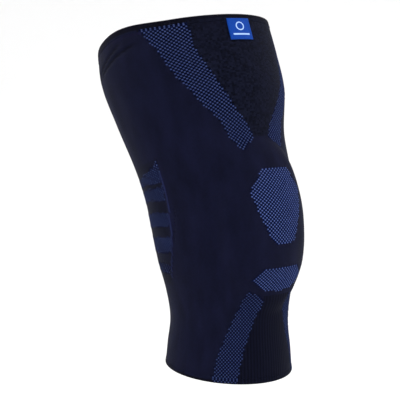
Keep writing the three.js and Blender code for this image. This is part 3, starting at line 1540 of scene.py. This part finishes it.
@dataclass
class Hem(KnittedTube):
    """A turned hem: a double edge with rounded rims, a little proud of the knit."""

    proud: float = 0.3 * MM
    thickness: float = 2.4 * MM
    rounding: float = 0.8 * MM
    middle_courses: int = 4
    turning: tuple[float, ...] = (0.0, 0.12, 0.45, 1.0)

    def lines(self) -> Array:
        """Makes narrow courses where the rims turn over, and even ones between them.

        Returns:
            The heights of the lines between the courses.
        """
        turn = self.rounding * np.array(self.turning)
        between = np.linspace(self.low + turn[-1], self.high - turn[-1], self.middle_courses + 1)
        return np.concatenate([self.low + turn[:-1], between, self.high - turn[-2::-1]])

    def inner_lines(self) -> Array:
        """Gives the same lines as outside, so that the inner rims turn over too."""
        return self.lines()

    def _lay_out(self, away: Array, height: Array) -> tuple[Array, Array]:
        """Keeps the zones off the courses that turn over at the free edge.

        Args:
            away: How far each stitch is from the front line, in degrees.
            height: How high it is, in millimetres.

        Returns:
            The kind of each cell, and its tone.
        """
        kinds, tones = super()._lay_out(away, height)
        free = self.high - height * MM if self.high > 0 else height * MM - self.low
        kinds[free < self.rounding] = self.plain.value
        return kinds, tones

    def _round_rims(self, tube: Object) -> None:
        """Turns both rims over.

        Args:
            tube: The closed piece.
        """
        points = Bench.points(tube)
        reach = np.hypot(points[:, 0], points[:, 1])
        end = np.minimum(points[:, 2] - self.low, self.high - points[:, 2])
        short = np.clip(self.rounding - end, 0, self.rounding)
        drop = self.rounding - np.sqrt(self.rounding**2 - short**2)
        side = np.sign(reach - (Bench.STRAIGHT_RADIUS + self.proud - self.thickness / 2))
        points[:, :2] *= (1 - side * drop / reach)[:, None]
        Bench.put_points(tube, points)


@dataclass
class KneecapRing:
    """The oval silicone ring that lies round the kneecap, against the inside of the knit."""

    band: float = 18 * MM
    rounding: float = 1.4 * MM
    turns: int = 72
    cuts: int = 2
    sharp_from: float = 50.0

    def build(self) -> Object:
        """Builds the ring.

        Returns:
            The finished object.
        """
        half_width, half_height = LEG.pad_width / 2, LEG.pad_height / 2
        ring = Bench.primitive(
            "kneecap_ring_silicone", bpy.ops.mesh.primitive_circle_add, (half_width, half_height, 1),
            vertices=self.turns, radius=1, rotation=(math.pi / 2, 0, 0),
        )
        Bench.pick(ring, edges=np.ones(len(ring.data.edges), bool))
        bpy.ops.mesh.extrude_edges_move()
        inner = ((half_width - self.band) / half_width, 1, (half_height - self.band) / half_height)
        bpy.ops.transform.resize(value=inner, center_override=(0, 0, 0))
        Bench.done()
        Bench.cut_across(ring, self.cuts)
        Bench.apply(ring, "SOLIDIFY", thickness=LEG.pad_thickness, offset=0, use_rim=True)
        Bench.round_edges(ring, self.rounding, 3)
        Bench.outward(ring)
        depth = LEG.wall + LEG.gap + LEG.pad_thickness / 2
        Bench.lay_flat_on(ring, Girth.KNEE.value[0] / 2, 0, LEG.pad_rise, depth)
        Bench.smooth(ring, self.sharp_from)
        ring.data.materials.append(SiliconeFinish("silicone", linear(28, 34, 60), linear(44, 52, 86)).make())
        return ring


@dataclass
class Label:
    """The small woven label on the front of the thigh, with stitched edges and a plain mark."""

    width: float = 22.5 * MM
    height: float = 20.5 * MM
    thickness: float = 0.8 * MM
    rounding: float = 0.2 * MM
    cells: tuple[int, int] = (30, 22)
    below_edge: float = 4.5 * MM
    aside: float = -4.5 * MM
    hem_proud: float = 0.3 * MM
    sharp_from: float = 40.0
    stitch_length: float = 1.5 * MM
    stitch_thickness: float = 0.35 * MM
    stitch_rounding: float = 0.12 * MM
    stitch_rise: float = 0.08 * MM
    stitch_step: float = 2.1 * MM
    stitch_inset: float = 1.1 * MM
    mark_rise: float = 0.05 * MM
    ring_radius: float = 3.6 * MM
    ring_thread: float = 0.55 * MM
    ring_flatness: float = 0.4
    ring_height: float = 2.6 * MM
    bar_size: Triple = (16 * MM, 0.45 * MM, 1.5 * MM)
    bar_rounding: float = 0.15 * MM
    bar_height: float = -5.2 * MM
    bar_cuts: int = 7

    def build(self) -> list[Object]:
        """Builds the label, its stitches and its mark.

        Returns:
            The finished objects.
        """
        pieces = [self._plate(), self._stitches(), self._mark()]
        middle = LEG.above - self.below_edge - self.height / 2
        radius = float(LEG.half_width(np.array([middle]))[0])
        depth = -(self.hem_proud + LEG.gap + self.thickness / 2)
        for piece in pieces:
            Bench.lay_flat_on(piece, radius, self.aside, middle, depth)
            Bench.smooth(piece, self.sharp_from)
        return pieces

    def _plate(self) -> Object:
        """Models the woven plate.

        Returns:
            The plate.
        """
        plate = Bench.primitive(
            "label_weave", bpy.ops.mesh.primitive_grid_add, (self.width, self.height, 1),
            x_subdivisions=self.cells[0], y_subdivisions=self.cells[1], size=1, rotation=(math.pi / 2, 0, 0),
        )
        Bench.apply(plate, "SOLIDIFY", thickness=self.thickness, offset=0)
        Bench.round_edges(plate, self.rounding, 2)
        Bench.outward(plate)
        plate.data.materials.append(SatinFinish("label_satin", linear(1, 44, 124), linear(4, 66, 160)).make())
        return plate

    def _stitches(self) -> Object:
        """Models the row of stitches that holds the label, one stitch copied along its edges.

        Returns:
            The stitches.
        """
        thick = self.stitch_thickness
        size = (self.stitch_length, thick, thick)
        first = Bench.primitive("label_stitch", bpy.ops.mesh.primitive_cube_add, size, size=1)
        Bench.apply(first, "BEVEL", width=self.stitch_rounding, segments=1, limit_method="NONE")
        face = -self.thickness / 2 - self.stitch_rise
        across, up = self.width / 2 - self.stitch_inset, self.height / 2 - self.stitch_inset
        copies = []
        for half_along, half_off, turn in ((across, up, 0), (up, across, math.pi / 2)):
            count = int(2 * half_along / self.stitch_step)
            for i, side in ((i, side) for i in range(count) for side in (-1, 1)):
                place = ((i - (count - 1) / 2) * self.stitch_step, face, side * half_off)
                copy = first.copy()
                copy.data = first.data.copy()
                bpy.context.scene.collection.objects.link(copy)
                spin = Matrix.Rotation(turn, 4, "Y")
                copy.data.transform(Matrix.Translation(place if turn == 0 else place[::-1]) @ spin)
                copies.append(copy)
        bpy.data.objects.remove(first)
        stitches = Bench.join("label_stitches", copies)
        thread = SatinFinish("label_thread", linear(2, 36, 100), linear(14, 80, 180))
        stitches.data.materials.append(thread.make())
        return stitches

    def _mark(self) -> Object:
        """Models the plain mark, an embroidered ring above a bar.

        Returns:
            The mark.
        """
        ring = Bench.primitive(
            "label_ring", bpy.ops.mesh.primitive_torus_add, (1, 1, self.ring_flatness),
            major_radius=self.ring_radius, minor_radius=self.ring_thread, major_segments=40,
            minor_segments=10, location=(0, 0, self.ring_height), rotation=(math.pi / 2, 0, 0),
        )
        bar = Bench.primitive(
            "label_bar", bpy.ops.mesh.primitive_cube_add, self.bar_size, size=1,
            location=(0, 0, self.bar_height),
        )
        Bench.cut_across(bar, self.bar_cuts)
        Bench.round_edges(bar, self.bar_rounding, 2)
        mark = Bench.join("label_mark", [ring, bar])
        mark.data.transform(Matrix.Translation((0, -self.thickness / 2 - self.mark_rise, 0)))
        white = SatinFinish("label_white", linear(120, 160, 225), linear(190, 215, 250))
        mark.data.materials.append(white.make())
        return mark


@dataclass(frozen=True)
class Lamp:
    """A square soft light that shines at the sleeve."""

    name: str
    place: Triple
    size: float
    power: float

    def add(self) -> None:
        """Adds the light to the scene."""
        lamp = bpy.data.lights.new(self.name, "AREA")
        lamp.size = self.size
        lamp.energy = self.power
        Studio.put(bpy.data.objects.new(self.name, lamp), Vector(self.place), Vector((0, 0, 0)))


@dataclass
class Studio:
    """The pale sweep, the soft lights and the camera."""

    floor_height: float = -0.42
    floor_radius: float = 2.2
    wall_radius: float = 4.0
    wall_height: float = 4.0
    sides: int = 96
    steps: int = 12
    lamps: tuple[Lamp, ...] = (
        Lamp("key", (-1.3, -1.5, 1.6), 1.4, 22.0),
        Lamp("fill", (1.6, -1.1, 0.7), 1.4, 12.0),
        Lamp("back", (-0.4, 1.7, 1.3), 1.2, 14.0),
    )
    look_at: Triple = (0.0, 3.0 * MM, 18.75 * MM)
    azimuth: float = -41.3
    elevation: float = 7.0
    distance: float = 1.0
    pixels: int = 400
    pixels_per_metre: float = 1175.0
    look_pixel: tuple[float, float] = (221.8, 209.7)
    sensor: float = 36.0

    def build(self) -> None:
        """Builds the stage."""
        bpy.context.scene.view_settings.view_transform = "Standard"
        self._sweep()
        self._surround()
        for lamp in self.lamps:
            lamp.add()
        self._camera()

    @staticmethod
    def put(obj: Object, place: Vector, target: Vector) -> None:
        """Puts a lamp or the camera in the scene.

        Args:
            obj: The object.
            place: Where it stands.
            target: What it looks at.
        """
        obj.location = place
        obj.rotation_euler = (target - place).to_track_quat("-Z", "Y").to_euler()
        bpy.context.scene.collection.objects.link(obj)

    def _sweep(self) -> None:
        """Models the floor, which curves up into a wall all round."""
        radius, height = self.floor_radius, self.floor_height
        sweep = Bench.primitive(
            "studio_sweep", bpy.ops.mesh.primitive_circle_add, vertices=self.sides, radius=radius,
            fill_type="NGON", location=(0, 0, height),
        )
        for step in range(1, self.steps + 1):
            turn = math.pi / 2 * step / self.steps
            new_radius = self.floor_radius + (self.wall_radius - self.floor_radius) * math.sin(turn)
            new_height = self.floor_height + self.wall_height * (1 - math.cos(turn))
            self._grow_rim(sweep, radius, new_height - height, new_radius / radius)
            radius, height = new_radius, new_height
        Bench.smooth(sweep)
        pale = Finish("sweep_paint", (0.9, 0.9, 0.9), (0.92, 0.92, 0.92), 0.9, 0.2, 0.0, 0.0)
        sweep.data.materials.append(pale.make())

    @staticmethod
    def _grow_rim(sweep: Object, radius: float, rise: float, scale: float) -> None:
        """Extrudes the sweep's rim up and outwards.

        Args:
            sweep: The sweep.
            radius: The rim's radius, the largest so far.
            rise: How far up the new rim lies.
            scale: How many times wider it is.
        """
        points = Bench.points(sweep)
        Bench.pick_edges_at(sweep, np.hypot(points[:, 0], points[:, 1]) > radius - MM)
        bpy.ops.mesh.extrude_edges_move(TRANSFORM_OT_translate={"value": (0, 0, rise)})
        bpy.ops.transform.resize(value=(scale, scale, 1), center_override=(0, 0, 0))
        Bench.done()

    @staticmethod
    def _surround() -> None:
        """Lights everything evenly from all round."""
        world = bpy.data.worlds.new("surround")
        world.use_nodes = True
        world.node_tree.nodes["Background"].inputs["Color"].default_value = (1, 1, 1, 1)
        world.node_tree.nodes["Background"].inputs["Strength"].default_value = 1.0
        bpy.context.scene.world = world

    def _camera(self) -> None:
        """Adds the camera: it stands where the photograph's stood, and turns to centre the same point."""
        a, e = math.radians(self.azimuth), math.radians(self.elevation)
        right = Vector((math.cos(a), math.sin(a), 0))
        back = Vector((math.sin(a) * math.cos(e), -math.cos(a) * math.cos(e), math.sin(e)))
        up = back.cross(right)
        off_x = (self.pixels / 2 - self.look_pixel[0]) / self.pixels_per_metre
        off_y = (self.look_pixel[1] - self.pixels / 2) / self.pixels_per_metre
        look = Vector(self.look_at)
        data = bpy.data.cameras.new("camera")
        data.sensor_width = self.sensor
        data.lens = self.pixels_per_metre * self.distance * self.sensor / self.pixels
        camera = bpy.data.objects.new("camera", data)
        self.put(camera, look + back * self.distance, look + right * off_x + up * off_y)
        bpy.context.scene.camera = camera


def keep(piece: Object, slot: str, *nodes: str) -> None:
    """Puts a finished piece in the frame.

    Args:
        piece: The object.
        slot: The record's material slot; it is not used.
        *nodes: The CAD nodes that it stands for.
    """
    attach(piece, BODY)
    if nodes:
        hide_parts(*nodes)
    triangles = sum(len(face.vertices) - 2 for face in piece.data.polygons)
    log.info("%s: %d triangles, %s", piece.name, triangles, ", ".join(nodes) or "added")


def main() -> None:
    """Builds the sleeve, its hems, the kneecap ring, the label and the stage."""
    logging.basicConfig(level=logging.INFO, format="%(message)s")
    below, above = -LEG.below, LEG.above
    knit_low, knit_high = below + LEG.calf_hem + LEG.gap, above - LEG.thigh_hem - LEG.gap
    keep(KnitSleeve("sleeve_knit", knit_low, knit_high, Cell.JERSEY).build(), "knit", "knit_sleeve")
    keep(Hem("thigh_hem_welt", above - LEG.thigh_hem, above, Cell.HEM).build(), "hem", "thigh_hem")
    calf_hem = Hem("calf_hem_welt", below, below + LEG.calf_hem, Cell.HEM, middle_courses=2)
    keep(calf_hem.build(), "hem", "calf_hem")
    keep(KneecapRing().build(), "silicone", "kneecap_ring")
    plate, *trims = Label().build()
    keep(plate, "label", "woven_label")
    for trim in trims:
        keep(trim, "label")
    Studio().build()


if __name__ == "__main__":
    main()
